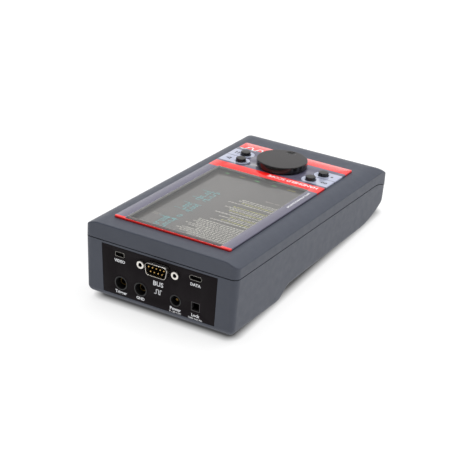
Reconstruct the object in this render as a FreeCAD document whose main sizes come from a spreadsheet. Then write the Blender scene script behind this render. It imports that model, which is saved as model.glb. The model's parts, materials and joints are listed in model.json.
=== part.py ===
import FreeCAD, Part
import math
import os
import Sketcher
from FreeCAD import Placement, Rotation, Vector

# Handheld storage oscilloscope with a bus connector, a push dial and four keys.
#
# Every piece is drawn in one of two local frames:
#   device frame  x to the user's right, y towards the connector end, z out of the screen,
#                 z = 0 on the seam between the two shells, y = 0 at the middle of the case
#   panel frame   x to the right and y up as seen by someone facing the connector panel,
#                 z straight out of the panel, origin on the seam line of the panel's face
# At the end all pieces get the rest placement: the case stands on four feet, so its connector
# end is higher, and the origin is under the middle of the whole instrument's box.

doc = FreeCAD.newDocument("handheld_scope")

# ---------------------------------------------------------------- driving dimensions (mm, degrees)

SIZES = {
    # case
    "case_length": 211.5,
    "face_to_origin": 101.5,
    "case_width": 110.0,
    "corner_radius": 4.5,
    "tail_corner_radius": 9.0,
    "upper_height": 11.0,
    "seam_gap": 0.6,
    "wall": 2.6,
    "roof": 2.0,
    "draft": 2.4,
    "block_depth": 38.8,
    "grip_depth": 31.2,
    "heel_depth": 28.7,
    "step_start": 57.0,
    "step_length": 18.0,
    "heel_start": 172.0,
    "heel_radius": 64.0,
    "bottom_round": 4.5,
    "shoulder_width": 10.2,
    "shoulder_radius": 15.0,
    "tail_width": 21.0,
    "tail_radius": 22.8,
    "dip_start": 187.0,
    "dip_radius": 40.0,
    "skirt": 12.0,
    "lip_round": 0.9,
    "mitre_round": 6.0,
    "wide_room_top": 6.2,
    "wide_room_floor": 13.0,
    "battery_room_top": 12.0,
    "block_room_top": 24.0,
    "post_radius": 2.6,
    "pilot_radius": 1.0,
    "keypad_post_x": 36.0,
    "main_post_x": 35.8,
    "screw_well": 3.2,
    "boss_x": 45.6,
    "boss_front": 12.5,
    "boss_rear": 186.0,
    "boss_radius": 4.0,
    # front plate, window and display
    "plate_half": 42.0,
    "plate_front": 12.8,
    "plate_back": 176.7,
    "plate_thick": 1.9,
    "print_thick": 0.1,
    "plate_sink": 0.6,
    "plate_corner": 1.2,
    "plate_gap": 0.15,
    "dial_opening": 7.5,
    "cell_thick": 1.5,
    "frame_depth": 3.8,
    "frame_wall": 1.2,
    "window_half": 36.0,
    "window_front": 17.2,
    "window_back": 126.2,
    "display_top": 9.7,
    "display_frame_half": 38.0,
    "display_frame_over": 5.6,
    # dial and keys
    "dial_from_face": 152.5,
    "dial_radius": 17.5,
    "dial_bottom": 13.1,
    "dial_top": 17.9,
    "dial_travel": 0.5,
    "shaft_radius": 3.0,
    "bushing_radius": 3.5,
    "running_gap": 0.05,
    "dimple_sphere": 7.4,
    "dimple_depth": 0.95,
    "dial_roof": 1.3,
    "encoder_height": 6.4,
    "switch_height": 3.6,
    "plunger_radius": 1.75,
    "dimple_reach": 13.0,
    "key_radius": 3.5,
    "key_gap": 0.3,
    "key_proud": 2.4,
    "key_near_x": 27.1,
    "key_near": 143.4,
    "key_far_x": 30.5,
    "key_far": 155.8,
    "keypad_top": 1.0,
    "board_thick": 1.6,
    # connector panel
    "panel_half_top": 41.8,
    "panel_high": 1.8,
    "panel_low": 34.6,
    "panel_thick": 2.0,
    "upper_row": 6.3,
    "bus_row": 8.2,
    "lower_row": 25.8,
    "video_x": 28.4,
    "data_x": 26.6,
    "trigger_x": 27.3,
    "ground_x": 12.8,
    "power_x": 12.7,
    "lock_x": 27.0,
    "nut_half_pitch": 12.495,
    "nut_radius": 2.65,
    "nut_bore": 1.2,
    "banana_radius": 4.7,
    "banana_well": 3.9,
    "contact_radius": 2.6,
    "contact_bore": 2.0,
    "lock_side": 6.2,
    # inside
    "main_board_top": -2.5,
    "cell_radius": 7.25,
    "cell_length": 50.5,
    "cell_height": 17.4,
    # feet
    "foot_radius": 5.0,
    "foot_proud": 1.0,
    "foot_x": 37.0,
    "foot_front": 46.0,
    "foot_rear": 160.0,
}


class Dim:
    """A length that keeps both its number and the sheet expression that it comes from."""

    def __init__(self, number, text=None):
        self.number = float(number)
        self.text = text or f"{self.number:.6f}"

    def __neg__(self):
        return Dim(-self.number, f"(-1 * {self.text})")

    def _join(self, other, sign, number):
        return Dim(number, f"({self.text} {sign} {other.text})")

    def __add__(self, other):
        other = dim(other)
        return self._join(other, "+", self.number + other.number)

    def __sub__(self, other):
        other = dim(other)
        return self._join(other, "-", self.number - other.number)

    def __mul__(self, other):
        other = dim(other)
        return self._join(other, "*", self.number * other.number)

    def __truediv__(self, other):
        other = dim(other)
        return self._join(other, "/", self.number / other.number)

    def __radd__(self, other):
        return dim(other) + self

    def __rsub__(self, other):
        return dim(other) - self

    def __rmul__(self, other):
        return dim(other) * self


def dim(value):
    return value if isinstance(value, Dim) else Dim(value)


def fill_sheet():
    sheet = doc.addObject("Spreadsheet::Sheet", "Sizes")
    for row, (alias, value) in enumerate(SIZES.items(), start=1):
        sheet.set(f"A{row}", alias)
        sheet.set(f"B{row}", str(value))
        sheet.setAlias(f"B{row}", alias)
    doc.recompute()
    return sheet


class Sheet:
    """Gives each alias of the sheet as a Dim: S.wall, S.case_length."""

    def __getattr__(self, alias):
        return Dim(SIZES[alias], f"Sizes.{alias}")


fill_sheet()
S = Sheet()


def from_face(distance):
    """Device y of something that lies a distance behind the connector end's face."""
    return S.face_to_origin - distance


# ---------------------------------------------------------------- outlines for sketches

X_AXIS, Y_AXIS, ORIGIN_POINT = -1, -2, (-1, 1)


def fix_coordinate(sketch, geometry, vertex, value, along_x):
    """Holds one coordinate of a sketch vertex at a Dim, measured from the sketch's origin."""
    value = dim(value)
    if abs(value.number) < 1e-9:
        axis = Y_AXIS if along_x else X_AXIS
        sketch.addConstraint(Sketcher.Constraint("PointOnObject", geometry, vertex, axis))
        return
    kind = "DistanceX" if along_x else "DistanceY"
    constraint = Sketcher.Constraint(kind, *ORIGIN_POINT, geometry, vertex, value.number)
    index = sketch.addConstraint(constraint)
    sketch.setExpression(f"Constraints[{index}]", value.text)


def polygon(*corners):
    """Closed outline through (x, y) corners, each coordinate held by its own expression."""

    def draw(sketch):
        points = [Vector(float(dim(x).number), float(dim(y).number), 0) for x, y in corners]
        lines = []
        for index, point in enumerate(points):
            following = points[(index + 1) % len(points)]
            lines.append(sketch.addGeometry(Part.LineSegment(point, following), False))
        for index, line in enumerate(lines):
            following = lines[(index + 1) % len(lines)]
            sketch.addConstraint(Sketcher.Constraint("Coincident", line, 2, following, 1))
        for line, (x, y) in zip(lines, corners):
            fix_coordinate(sketch, line, 1, x, True)
            fix_coordinate(sketch, line, 1, y, False)

    return draw


def rectangle(x0, x1, y0, y1):
    return polygon((x0, y0), (x1, y0), (x1, y1), (x0, y1))


def centred(width, height, x=0, y=0):
    width, height, x, y = dim(width), dim(height), dim(x), dim(y)
    return rectangle(x - width / 2, x + width / 2, y - height / 2, y + height / 2)


def circle(x, y, radius):
    """Full circle with its centre and its radius bound to expressions."""

    def draw(sketch):
        centre = Vector(dim(x).number, dim(y).number, 0)
        ring = Part.Circle(centre, Vector(0, 0, 1), dim(radius).number)
        geometry = sketch.addGeometry(ring, False)
        index = sketch.addConstraint(Sketcher.Constraint("Radius", geometry, dim(radius).number))
        sketch.setExpression(f"Constraints[{index}]", dim(radius).text)
        fix_coordinate(sketch, geometry, 3, x, True)
        fix_coordinate(sketch, geometry, 3, y, False)

    return draw


def circles(places, radius):
    """The same circle at several (x, y) places."""
    outlines = [circle(x, y, radius) for x, y in places]

    def draw(sketch):
        for outline in outlines:
            outline(sketch)

    return draw


def chain(start, *steps):
    """Closed outline of lines and arcs.

    A step is (x, y) for a line to a point, or (x, y, middle_x, middle_y) for an arc to a point
    through a middle point. Ends are held by expressions; an arc is also held by its radius.
    """

    def draw(sketch):
        places = [start] + [step[:2] for step in steps]
        points = [Vector(dim(x).number, dim(y).number, 0) for x, y in places]
        pieces = []
        for index, step in enumerate(steps):
            first, last = points[index], points[index + 1]
            if len(step) == 2:
                pieces.append((sketch.addGeometry(Part.LineSegment(first, last), False), 1, 2))
                continue
            middle = Vector(dim(step[2]).number, dim(step[3]).number, 0)
            geometry = sketch.addGeometry(Part.Arc(first, middle, last), False)
            radius = sketch.Geometry[geometry].Radius
            start_point = sketch.getPoint(geometry, 1)
            forwards = start_point.distanceToPoint(first) < start_point.distanceToPoint(last)
            pieces.append((geometry, 1, 2) if forwards else (geometry, 2, 1))
            sketch.addConstraint(Sketcher.Constraint("Radius", geometry, radius))
        for index, (geometry, _, end) in enumerate(pieces):
            following, begin, _ = pieces[(index + 1) % len(pieces)]
            sketch.addConstraint(Sketcher.Constraint("Coincident", geometry, end, following, begin))
        for (geometry, begin, _), (x, y) in zip(pieces, places):
            fix_coordinate(sketch, geometry, begin, x, True)
            fix_coordinate(sketch, geometry, begin, y, False)

    return draw


def rounded(x0, x1, y0, y1, radius, low_radius=None):
    """Rectangle with tangent corner arcs, which may have another radius at the low end."""
    low_radius = dim(radius if low_radius is None else low_radius)
    x0, x1, y0, y1, radius = (dim(value) for value in (x0, x1, y0, y1, radius))

    def draw(sketch):
        left, right, low, high = (value.number for value in (x0, x1, y0, y1))
        r, s = radius.number, low_radius.number
        spots = [(right - r, high - r, r, 0), (left + r, high - r, r, 90),
                 (left + s, low + s, s, 180), (right - s, low + s, s, 270)]
        arcs = []
        for x, y, size, start in spots:
            ring = Part.Circle(Vector(x, y, 0), Vector(0, 0, 1), size)
            turn = Part.ArcOfCircle(ring, math.radians(start), math.radians(start + 90))
            arcs.append(sketch.addGeometry(turn, False))
        lines = []
        for index, arc in enumerate(arcs):
            first = sketch.getPoint(arc, 2)
            last = sketch.getPoint(arcs[(index + 1) % 4], 1)
            lines.append(sketch.addGeometry(Part.LineSegment(first, last), False))
        for index, (arc, line) in enumerate(zip(arcs, lines)):
            following = arcs[(index + 1) % 4]
            sketch.addConstraint(Sketcher.Constraint("Tangent", arc, 2, line, 1))
            sketch.addConstraint(Sketcher.Constraint("Tangent", line, 2, following, 1))
        for pair, size in ((arcs[:2], radius), (arcs[2:], low_radius)):
            sketch.addConstraint(Sketcher.Constraint("Equal", *pair))
            index = sketch.addConstraint(Sketcher.Constraint("Radius", pair[0], size.number))
            sketch.setExpression(f"Constraints[{index}]", size.text)
        fix_coordinate(sketch, lines[0], 1, y1, False)
        fix_coordinate(sketch, lines[1], 1, x0, True)
        fix_coordinate(sketch, lines[2], 1, y0, False)
        fix_coordinate(sketch, lines[3], 1, x1, True)
        sketch.addConstraint(Sketcher.Constraint("Horizontal", lines[0]))
        sketch.addConstraint(Sketcher.Constraint("Vertical", lines[1]))

    return draw


def case_plan(inset, tail_inset=None):
    """The case's plan outline, moved inwards, at the dial end perhaps by another distance."""
    half_width = S.case_width / 2 - inset
    return rounded(-half_width, half_width, TAIL_Y + (tail_inset or inset), FACE_Y - inset,
                   S.corner_radius - inset, S.tail_corner_radius - inset)


# ---------------------------------------------------------------- pieces

PIECES = []


class Piece:
    """One sub-part: a PartDesign body made of pads, pockets, revolutions and fillets."""

    def __init__(self, label, frame="device"):
        self.label = label
        self.frame = frame
        self.body = doc.addObject("PartDesign::Body", label)
        self.body.Label = label
        PIECES.append(self)

    def origin_feature(self, role):
        return next(item for item in self.body.Origin.OriginFeatures if item.Role == role)

    def sketch(self, outlines, plane="XY_Plane", level=0):
        """Sketch on one of the body's own planes, lifted along that plane's normal."""
        sketch = self.body.newObject("Sketcher::SketchObject", f"{self.label}_sketch")
        sketch.AttachmentSupport = [(self.origin_feature(plane), "")]
        sketch.MapMode = "FlatFace"
        level = dim(level)
        sketch.AttachmentOffset = Placement(Vector(0, 0, level.number), Rotation())
        sketch.setExpression("AttachmentOffset.Base.z", level.text)
        for draw in outlines:
            draw(sketch)
        return sketch

    def feature(self, kind, profile):
        feature = self.body.newObject(f"PartDesign::{kind}", f"{self.label}_{kind.lower()}")
        feature.Profile = profile
        self.body.Tip = feature
        return feature

    def pad(self, bottom, height, *outlines, taper=None, down=False):
        """Pad from a level, upwards unless it is told to go down."""
        feature = self.feature("Pad", self.sketch(outlines, "XY_Plane", bottom))
        feature.setExpression("Length", dim(height).text)
        feature.Reversed = down
        if taper is not None:
            feature.setExpression("TaperAngle", dim(taper).text)
        return feature

    def cut(self, top, depth, *outlines):
        """Pocket from a level downwards."""
        feature = self.feature("Pocket", self.sketch(outlines, "XY_Plane", top))
        feature.setExpression("Length", dim(depth).text)
        return feature

    def across(self, kind, width, *outlines):
        """Symmetric pad or pocket of a side profile (y, z) along x."""
        feature = self.feature(kind, self.sketch(outlines, "YZ_Plane"))
        feature.SideType = "Symmetric"
        feature.setExpression("Length", dim(width).text)
        return feature

    def along(self, kind, y_high, length, *outlines):
        """Pad or pocket of a front profile (x, z) from y_high towards lower y."""
        feature = self.feature(kind, self.sketch(outlines, "XZ_Plane", -dim(y_high)))
        feature.setExpression("Length", dim(length).text)
        feature.Reversed = kind == "Pocket"
        return feature

    def round_edges(self, radius, wanted, kind="Fillet"):
        """Fillet or chamfer on the edges of the current shape that the test accepts."""
        doc.recompute()
        base = self.body.Tip
        names = [f"Edge{number}" for number, edge in enumerate(base.Shape.Edges, start=1)
                 if wanted(edge)]
        if not names:
            raise ValueError(f"{self.label}: no edge to round")
        feature = self.body.newObject(f"PartDesign::{kind}", f"{self.label}_{kind.lower()}")
        feature.Base = (base, names)
        feature.setExpression("Radius" if kind == "Fillet" else "Size", dim(radius).text)
        self.body.Tip = feature
        return feature


def disc(label, places, radius, bottom, height, frame="device"):
    """A group of equal upright cylinders."""
    piece = Piece(label, frame)
    piece.pad(bottom, height, circles(places, radius))
    return piece


def slab(label, bottom, height, *outlines, frame="device"):
    """A flat plate with a given outline; further outlines are holes in it."""
    piece = Piece(label, frame)
    piece.pad(bottom, height, *outlines)
    return piece


def corners(x, *ys):
    """Places at plus and minus x for every y given."""
    return [(side * dim(x), y) for y in ys for side in (1, -1)]


SEAM = S.seam_gap / 2
FACE_Y = S.face_to_origin
TAIL_Y = S.face_to_origin - S.case_length
DIAL_Y = from_face(S.dial_from_face)
KEYS = {
    "key_right_near": (S.key_near_x, from_face(S.key_near)),
    "key_left_near": (-S.key_near_x, from_face(S.key_near)),
    "key_right_far": (S.key_far_x, from_face(S.key_far)),
    "key_left_far": (-S.key_far_x, from_face(S.key_far)),
}
PRINT_BOTTOM = S.upper_height - S.plate_sink
PLATE_BOTTOM = PRINT_BOTTOM + S.print_thick
PLATE_TOP = PLATE_BOTTOM + S.plate_thick
ROOF_UNDER = PRINT_BOTTOM - S.roof
MAIN_BOTTOM = S.main_board_top - S.board_thick
KEYPAD_BOTTOM = S.keypad_top - S.board_thick
CASE_BOSSES = corners(S.boss_x, from_face(S.boss_front), from_face(S.boss_rear))
KEYPAD_POSTS = corners(S.keypad_post_x, from_face(138.5), from_face(163.0))
MAIN_POSTS = corners(S.main_post_x, from_face(33.0), from_face(128.0))
KEY_PLACES = list(KEYS.values())


def window(grow=0.0):
    half = S.window_half + grow
    return rectangle(-half, half, from_face(S.window_back + grow), from_face(S.window_front - grow))


def plate_outline(gap):
    half = S.plate_half + gap
    return rounded(-half, half, from_face(S.plate_back + gap), from_face(S.plate_front - gap),
                   S.plate_corner)


# ---------------------------------------------------------------- shells

def sagitta(radius, run):
    """How far an arc has fallen away from its tangent after a run along it."""
    return radius.number - math.sqrt(radius.number ** 2 - dim(run).number ** 2)


def beside_seam(level, beyond, *start):
    """Region in side view between the seam, which dips at the dial end, and another level."""
    y_dip, y_out = from_face(S.dip_start), TAIL_Y - 3
    run = y_dip - y_out
    line = [(y, level) for y in (*start, y_dip)]
    line.append((y_out, level - sagitta(S.dip_radius, run), y_dip - run / 2,
                 level - sagitta(S.dip_radius, run / 2)))
    return chain(*line, (y_out, beyond), (line[0][0], beyond), line[0])


def make_upper_shell():
    piece = Piece("upper_shell")
    piece.pad(SEAM - S.skirt, S.upper_height - SEAM + S.skirt, case_plan(dim(0)))
    half, length = S.case_width / 2, S.case_length - S.face_to_origin

    def shoulder(edge, sign, width, radius):
        """Region outside the shoulder arc at one edge, in a section across that edge."""
        flat = edge - width
        reach = width.number / 2
        sag = sagitta(radius, reach)
        lip = S.upper_height - sagitta(radius, width)
        beyond = edge + 4
        high = S.upper_height + 4
        return chain(
            (sign * flat, S.upper_height),
            (sign * edge, lip, sign * (flat + reach), S.upper_height - sag),
            (sign * beyond, lip),
            (sign * beyond, high),
            (sign * flat, high),
            (sign * flat, S.upper_height))

    side = (S.shoulder_width, S.shoulder_radius)
    piece.along("Pocket", FACE_Y + 5, S.case_length + 10, shoulder(half, 1, *side),
                shoulder(half, -1, *side))
    piece.across("Pocket", S.case_width + 10, shoulder(length, -1, S.tail_width, S.tail_radius))
    # soften the two mitres at the dial end and the lip all round
    edge_y = (TAIL_Y + S.tail_width).number
    piece.round_edges(S.mitre_round, lambda edge: is_mitre(edge, edge_y))
    piece.round_edges(S.lip_round, is_lip)
    piece.across("Pocket", S.case_width + 10, beside_seam(SEAM, -S.skirt - 3, FACE_Y + 3))
    # recess for the front plate, and the openings in the roof
    piece.cut(S.upper_height, S.plate_sink, plate_outline(S.plate_gap))
    piece.cut(PRINT_BOTTOM, S.roof + 1, window(), circle(0, DIAL_Y, S.bushing_radius + 0.1),
              circles(KEY_PLACES, S.key_radius + S.key_gap))
    # inside: a wide shallow room and a narrower one up to the roof
    inner = S.case_width / 2 - S.shoulder_width - 1.2
    end = TAIL_Y + S.tail_width + 1.2
    for outline, low, high in (
            (case_plan(S.wall, dim(4.5)), SEAM - S.skirt - 1, dim(-1.0)),
            (case_plan(S.wall, dim(11.5)), dim(-1.5), S.wide_room_top),
            (rectangle(-inner, inner, end, FACE_Y - S.wall), S.wide_room_top - 0.2, ROOF_UNDER)):
        room = piece.feature("Pocket", piece.sketch([outline], "XY_Plane", low))
        room.setExpression("Length", (high - low).text)
        room.Reversed = True
    # bosses for the case screws and posts for the keypad board
    piece.pad(SEAM, 7.0, circles(CASE_BOSSES, S.boss_radius))
    piece.cut(S.wide_room_top, S.wide_room_top, circles(CASE_BOSSES, 2.0))
    piece.pad(S.keypad_top, ROOF_UNDER - S.keypad_top + 0.5, circles(KEYPAD_POSTS, 2.4))
    piece.cut(6.0, 6.0, circles(KEYPAD_POSTS, S.pilot_radius))
    return piece


def is_mitre(edge, y_limit):
    """The curved edge between a side shoulder and the end shoulder."""
    box = edge.BoundBox
    return (box.YMax < y_limit + 0.5 and box.XLength > 2 and box.YLength > 2 and box.ZLength > 0.5
            and box.ZMax > 10.5)


def is_lip(edge):
    """The edges where the shoulders meet the upright walls of the case."""
    middle = edge.valueAt((edge.FirstParameter + edge.LastParameter) / 2)
    outer = abs(middle.x) > 48 or middle.y < TAIL_Y.number + 8
    upright = edge.BoundBox.ZLength > 12
    return outer and not upright and -8 < middle.z < 8 and edge.Length > 1


def lower_profile():
    """Region under the case in side view: the step, the grip's slope and the heel."""
    step_rise = S.block_depth.number - S.grip_depth.number
    y_step = from_face(S.step_start)
    y_grip = from_face(S.step_start + S.step_length)
    y_heel = from_face(S.heel_start)
    y_out = TAIL_Y - 3
    radius = dim((S.step_length.number ** 2 + step_rise ** 2) / (4 * step_rise))
    quarter = S.step_length.number / 4
    sag = sagitta(radius, quarter)
    y_mid = from_face(S.step_start + S.step_length / 2)
    z_mid = -(S.block_depth + S.grip_depth) / 2
    run = y_heel - y_out
    heel_rise = sagitta(S.heel_radius, run)
    heel_half = sagitta(S.heel_radius, run / 2)
    below = -S.block_depth - 6
    return chain(
        (y_step, -S.block_depth),
        (y_mid, z_mid, y_step - quarter, -S.block_depth + sag),
        (y_grip, -S.grip_depth, y_grip + quarter, -S.grip_depth - sag),
        (y_heel, -S.heel_depth),
        (y_out, -S.heel_depth + heel_rise, (y_heel + y_out) / 2, -S.heel_depth + heel_half),
        (y_out, below),
        (y_step, below),
        (y_step, -S.block_depth))


def make_lower_shell():
    piece = Piece("lower_shell")
    piece.pad(-SEAM, S.block_depth - SEAM, case_plan(dim(0)), taper=-S.draft, down=True)
    piece.across("Pocket", S.case_width + 10, lower_profile())
    piece.round_edges(S.bottom_round, is_bottom_edge)
    piece.across("Pocket", S.case_width + 10, beside_seam(-SEAM, dim(3.0)))
    # inside: a wide shallow room, the battery room and the deep connector room
    piece.cut(-SEAM, S.wide_room_floor, case_plan(S.wall))
    room = S.case_width / 2 - 5.6
    piece.cut(-S.battery_room_top, S.heel_depth - S.battery_room_top - S.wall,
              rectangle(-room, room, from_face(178.0), from_face(4.2)))
    piece.cut(-S.block_room_top, S.block_depth - S.block_room_top - 3.2,
              rectangle(-room, room, from_face(S.step_start - 2.5), from_face(5.0)))
    # opening for the connector panel with the rebate that it sits in
    lean = S.draft.number
    low, high = -S.panel_low - 0.2, -S.panel_high + 0.2
    half_high = S.panel_half_top + 0.2
    narrowing = (high - low).number * math.tan(math.radians(lean))
    half_low = half_high - narrowing
    rebate = polygon((-half_low, low), (half_low, low), (half_high, high), (-half_high, high))
    rim = 1.6
    opening = polygon((rim - half_low, low + rim), (half_low - rim, low + rim),
                      (half_high - rim, high - rim), (rim - half_high, high - rim))
    for outline, depth in ((rebate, S.panel_thick), (opening, dim(12.0))):
        sketch = piece.sketch([outline], "XZ_Plane", -FACE_Y)
        sketch.AttachmentOffset = Placement(Vector(0, 0, -FACE_Y.number),
                                            Rotation(Vector(1, 0, 0), -lean))
        sketch.setExpression("AttachmentOffset.Rotation.Angle", (-S.draft).text)
        feature = piece.feature("Pocket", sketch)
        feature.SideType = "Two sides"
        feature.setExpression("Length", "3.0")
        feature.setExpression("Length2", depth.text)
    # bosses for the case screws, posts for the main board
    for place in CASE_BOSSES:
        deep = place[1].number > 0
        floor = S.block_depth - 2 if deep else S.heel_depth / 2
        piece.pad(-SEAM, floor - SEAM, circle(*place, S.boss_radius), down=True)
    for place in MAIN_POSTS:
        deep = place[1].number > 50
        floor = S.block_depth - 2 if deep else S.heel_depth - 2
        piece.pad(MAIN_BOTTOM, floor + MAIN_BOTTOM, circle(*place, S.post_radius), down=True)
    piece.cut(MAIN_BOTTOM, 7.0, circles(MAIN_POSTS, S.pilot_radius))
    piece.cut(0.0, 60.0, circles(CASE_BOSSES, 1.6))
    front, rear = CASE_BOSSES[:2], CASE_BOSSES[2:]
    piece.cut(-S.block_depth + 6, 20.0, circles(front, S.screw_well))
    piece.cut(-S.heel_depth + 9, 20.0, circles(rear, S.screw_well))
    # wells for the feet and for the rating label
    piece.cut(-S.block_depth + 1.5, 9.0, circles(corners(S.foot_x, from_face(S.foot_front)),
                                                 S.foot_radius + 0.1))
    piece.cut(-rear_foot_level() + 1.5, 9.0, circles(corners(S.foot_x, from_face(S.foot_rear)),
                                                     S.foot_radius + 0.1))
    piece.cut(-S.block_depth + 0.5, 2.0,
              rounded(-28.0, 28.0, from_face(47.0), from_face(15.0), 2.0))
    return piece


def rear_foot_level():
    """Depth of the sloping underside at the rear feet."""
    run = S.heel_start - S.step_start - S.step_length
    done = (S.foot_rear - S.step_start - S.step_length) / run
    return S.grip_depth - (S.grip_depth - S.heel_depth) * done


def is_bottom_edge(edge):
    """Every edge round the underside, between it and the upright walls."""
    box = edge.BoundBox
    if box.ZMax > -S.heel_depth.number + 16:
        return False
    if box.XLength > S.case_width.number - 30 and box.YMin > -95 and box.YMax < 95:
        return False
    return True


def make_case_seal():
    piece = slab("case_seal", -SEAM - S.skirt, S.seam_gap + S.skirt, case_plan(dim(0.9)),
                 case_plan(dim(2.2)))
    piece.across("Pocket", S.case_width + 10, beside_seam(SEAM, dim(3.0)))
    piece.across("Pocket", S.case_width + 10, beside_seam(-SEAM, -S.skirt - 3, FACE_Y + 3))


# ---------------------------------------------------------------- front plate and display

def make_front():
    holes = (circle(0, DIAL_Y, S.dial_opening), circles(KEY_PLACES, S.key_radius + S.key_gap))
    plate = slab("front_plate", PLATE_BOTTOM, S.plate_thick, plate_outline(dim(0)), *holes)
    plate.round_edges(0.25, lambda edge: edge.BoundBox.ZMin > PLATE_TOP.number - 0.01
                      and max(abs(edge.BoundBox.XMin), abs(edge.BoundBox.XMax)) > 40, "Chamfer")
    slab("plate_print", PRINT_BOTTOM, S.print_thick, plate_outline(dim(0)), window(0.0), *holes)


def make_display():
    cell_bottom = S.display_top - S.cell_thick
    slab("display_cell", cell_bottom, S.cell_thick, window(-0.3))
    half = S.display_frame_half
    low = from_face(S.window_back + S.display_frame_over)
    high = from_face(S.window_front - S.display_frame_over)
    frame = slab("display_frame", cell_bottom - S.frame_depth, S.frame_depth,
                 rectangle(-half, half, low, high))
    inner = (S.frame_wall - half, half - S.frame_wall, low + S.frame_wall, high - S.frame_wall)
    frame.cut(cell_bottom, 3.0, rectangle(*inner))
    slab("display_backlight", cell_bottom - 3.0, 2.9,
         rectangle(inner[0] + 0.2, inner[1] - 0.2, inner[2] + 0.2, inner[3] - 0.2))
    slab("display_gasket", cell_bottom, ROOF_UNDER - cell_bottom,
         rectangle(-half, half, low, high), window(0.2))


# ---------------------------------------------------------------- dial

def make_dial():
    y = DIAL_Y
    board_top = S.keypad_top
    body_top = board_top + S.encoder_height
    bushing_top = S.dial_bottom - S.dial_travel - 0.3
    bore = S.shaft_radius + S.running_gap
    housing = Piece("encoder_housing")
    housing.pad(board_top, S.encoder_height, centred(13.2, 12.4, 0, y))
    housing.pad(body_top, bushing_top - body_top, circle(0, y, S.bushing_radius))
    housing.cut(bushing_top, bushing_top - board_top - 0.8, circle(0, y, bore))
    nut = slab("encoder_nut", PRINT_BOTTOM + 0.02, 1.7, hexagon(0, y, 5.0),
               circle(0, y, S.bushing_radius))
    nut.round_edges(0.3, lambda edge: edge.BoundBox.ZMin > PRINT_BOTTOM.number + 1.6
                    and edge.Length < 8, "Chamfer")
    disc("dial_plunger", [(0, y)], S.shaft_radius, board_top + 1.6, 1.8)
    shaft_bottom = board_top + 3.4
    shaft_top = S.dial_top - S.dial_roof
    shaft = disc("dial_shaft", [(0, y)], S.shaft_radius, shaft_bottom, shaft_top - shaft_bottom)
    flat = S.shaft_radius - 0.5
    shaft.cut(shaft_top, 3.2, rectangle(-4.0, 4.0, y + flat, y + 4.5))
    knob = Piece("dial_knob")
    knob.pad(S.dial_bottom, S.dial_top - S.dial_bottom, circle(0, y, S.dial_radius))
    knob.round_edges(0.7, lambda edge: edge.BoundBox.ZMin > S.dial_top.number - 0.01)
    knob.round_edges(0.4, lambda edge: edge.BoundBox.ZMax < S.dial_bottom.number + 0.01)
    make_knob_underside(knob, y, flat)
    dish = knob.body.newObject("PartDesign::SubtractiveSphere", "dial_knob_dish")
    dish.setExpression("Radius", S.dimple_sphere.text)
    dish.AttachmentSupport = [(knob.origin_feature("XY_Plane"), "")]
    dish.MapMode = "FlatFace"
    height = S.dial_top + S.dimple_sphere - S.dimple_depth
    centre = (dim(0), y - S.dimple_reach, height)
    dish.AttachmentOffset = Placement(Vector(*(part.number for part in centre)), Rotation())
    for name, part in zip("xyz", centre):
        dish.setExpression(f"AttachmentOffset.Base.{name}", part.text)
    knob.body.Tip = dish


def make_knob_underside(knob, y, flat):
    """Hollow underside, and the D-shaped bore that the shaft is pressed into."""
    ring = knob.feature("Pocket", knob.sketch(
        [circle(0, y, S.dial_radius - 2.0), circle(0, y, dim(5.0))], "XY_Plane", S.dial_bottom))
    ring.setExpression("Length", "2.6")
    ring.Reversed = True
    bore = knob.feature("Pocket", knob.sketch([circle(0, y, S.shaft_radius)], "XY_Plane",
                                              S.dial_bottom))
    bore.setExpression("Length", (S.dial_top - S.dial_roof - S.dial_bottom).text)
    bore.Reversed = True
    knob.pad(S.dial_top - 4.5, 3.4, rectangle(-1.6, 1.6, y + flat, y + 3.4))


def hexagon(x, y, inner_radius):
    reach = inner_radius / math.cos(math.pi / 6)
    points = []
    for step in range(6):
        angle = math.pi / 6 + step * math.pi / 3
        points.append((dim(x) + reach * math.cos(angle), dim(y) + reach * math.sin(angle)))
    return polygon(*points)


# ---------------------------------------------------------------- keys

def make_keys():
    switch_top = S.keypad_top + S.switch_height
    plunger_bottom = S.keypad_top + 2.4
    plunger_top = S.keypad_top + 5.0
    flange_top = ROOF_UNDER - 0.1
    key_top = PLATE_TOP + S.key_proud
    for name, place in KEYS.items():
        key = Piece(name)
        key.pad(plunger_top, key_top - plunger_top, circle(*place, S.key_radius))
        key.pad(flange_top - 0.9, 0.9, circle(*place, S.key_radius + 1.0))
        key.round_edges(0.55, lambda edge: edge.BoundBox.ZMin > key_top.number - 0.01)
        disc(name.replace("key_", "plunger_"), [place], S.plunger_radius, plunger_bottom,
             plunger_top - plunger_bottom)
    switches = Piece("key_switches")
    switches.pad(S.keypad_top, switch_top - S.keypad_top,
                 *(centred(6.0, 6.0, x, y) for x, y in KEY_PLACES))
    switches.cut(switch_top, 2.0, circles(KEY_PLACES, S.plunger_radius + S.running_gap))
    board = slab("keypad_board", KEYPAD_BOTTOM, S.board_thick,
                 rectangle(-39.5, 39.5, from_face(166.5), from_face(135.0)))
    board.cut(S.keypad_top, S.board_thick, circles(KEYPAD_POSTS, S.pilot_radius))


# ---------------------------------------------------------------- connectors, in the panel frame

def shell_outline(width, height, slant, radius, x=0.0, y=0.0):
    """D-shaped outline: wide at the top, with slanted sides, as corner points for a polygon."""
    half, top, bottom = width / 2, height / 2, -height / 2
    lower = half - slant
    cut = radius * 0.6
    points = [(-half + cut, top), (half - cut, top), (half, top - cut),
              (lower + slant * cut / height, bottom + cut), (lower - cut, bottom),
              (-lower + cut, bottom), (-lower - slant * cut / height, bottom + cut),
              (-half, top - cut)]
    return polygon(*((dim(x) + px, dim(y) + py) for px, py in points))


def stadium(x, y, width, height, radius):
    x, y, width, height = dim(x), dim(y), dim(width), dim(height)
    return rounded(x - width / 2, x + width / 2, y - height / 2, y + height / 2, radius)


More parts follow.
